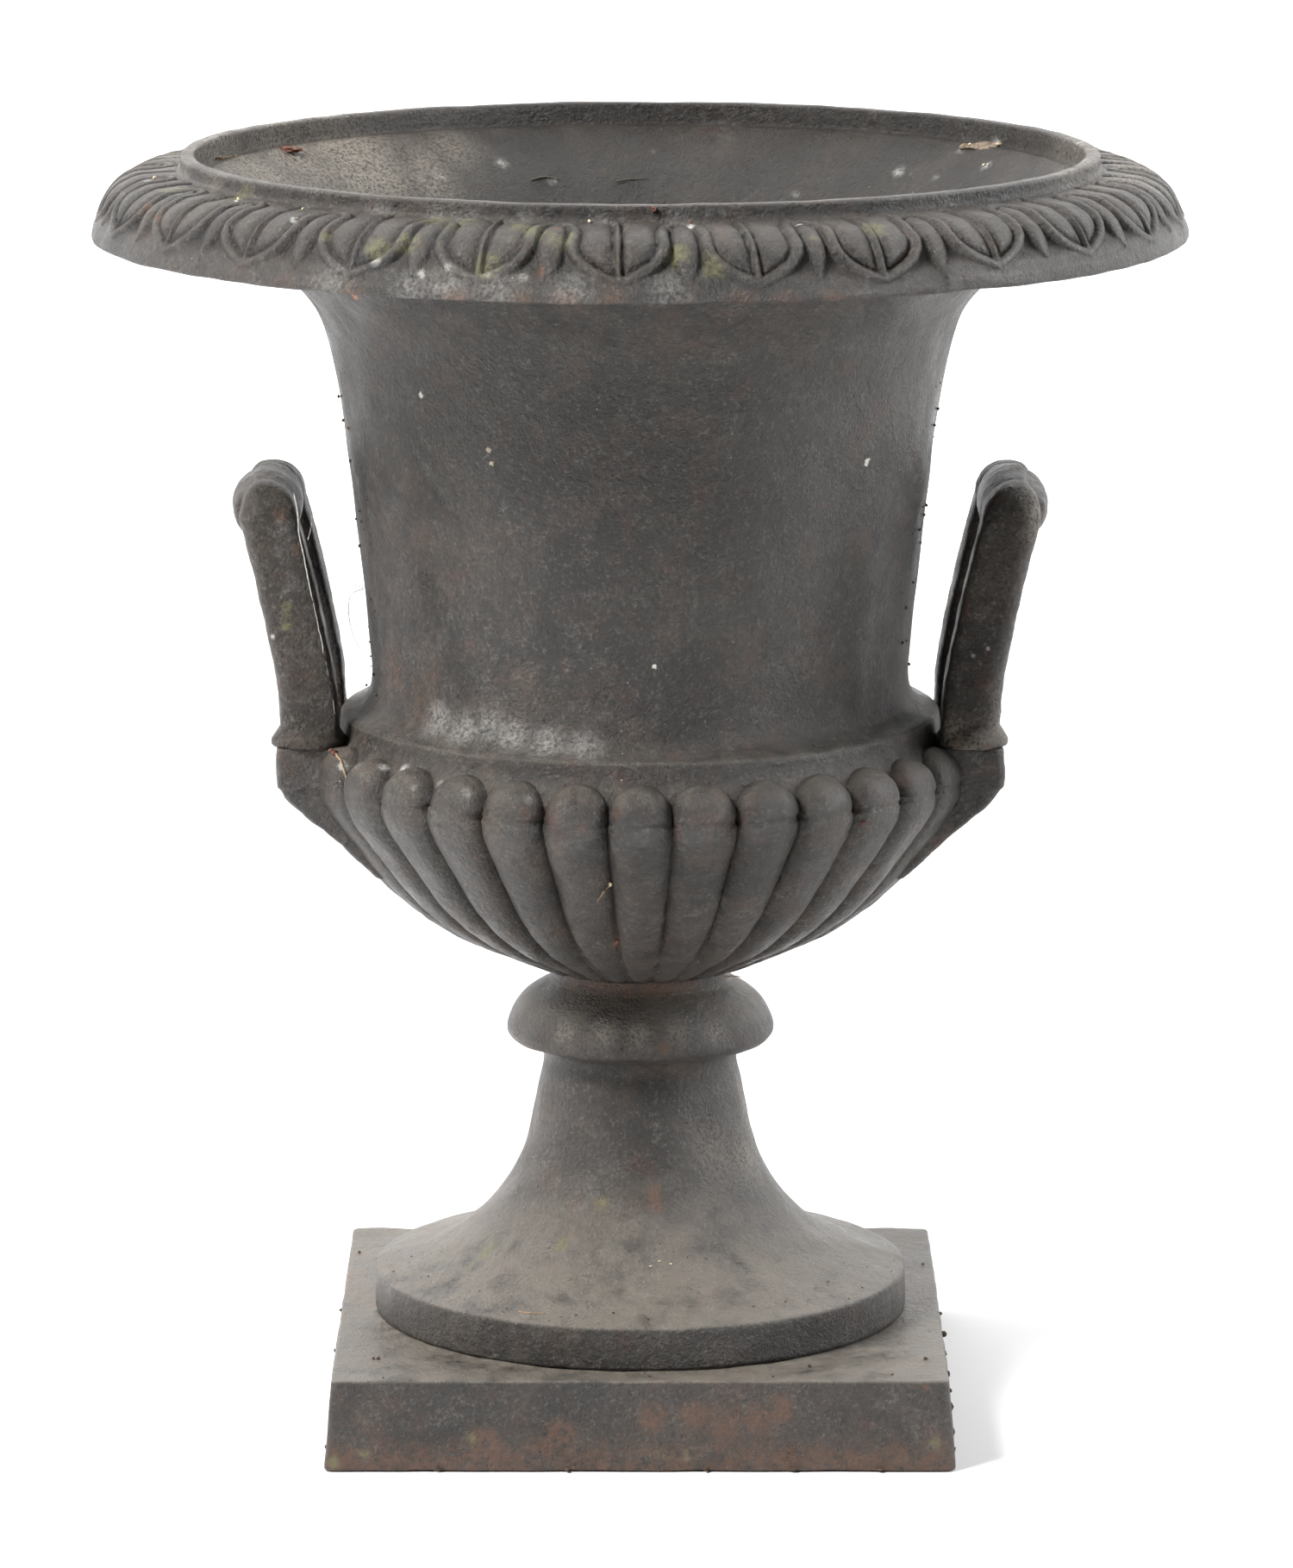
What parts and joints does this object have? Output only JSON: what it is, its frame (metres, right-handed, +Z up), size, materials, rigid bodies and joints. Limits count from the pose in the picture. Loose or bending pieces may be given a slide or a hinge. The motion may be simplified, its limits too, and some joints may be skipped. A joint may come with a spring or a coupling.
{
  "type": "garden urn",
  "caption": "Cast iron garden urn with a flared bell, leaf-moulded rolled rim, gadrooned bowl, upright loop handles, turned socle and square plinth.",
  "frame": {"origin": "middle of the plinth's foot, on the floor", "axes": "+Z up along the urn's axis, the handles at -X and +X, the front towards -Y"},
  "size_m": [0.601, 0.601, 0.701],
  "materials": {
    "cast_iron_bell": "weathered, rust and lichen",
    "cast_iron_bowl": "weathered, dusty",
    "cast_iron_handles": "weathered, rubbed bright",
    "cast_iron_socle": "weathered, rust at the neck",
    "cast_iron_plinth": "weathered, rust at the foot",
    "rusted_steel": "rusted"
  },
  "bodies": {
    "root": {"bell": "cast_iron_bell", "fluted_bowl": "cast_iron_bowl", "left_handle": "cast_iron_handles", "right_handle": "cast_iron_handles", "socle": "cast_iron_socle", "plinth": "cast_iron_plinth", "tie_rod": "rusted_steel", "flange_bolts": "rusted_steel", "flange_washers": "rusted_steel", "flange_nuts": "rusted_steel", "handle_studs": "rusted_steel", "handle_washers": "rusted_steel", "handle_nuts": "rusted_steel", "upper_tie_washer": "rusted_steel", "upper_tie_nut": "rusted_steel", "lower_tie_washer": "rusted_steel", "lower_tie_nut": "rusted_steel"}
  },
  "joints": []
}
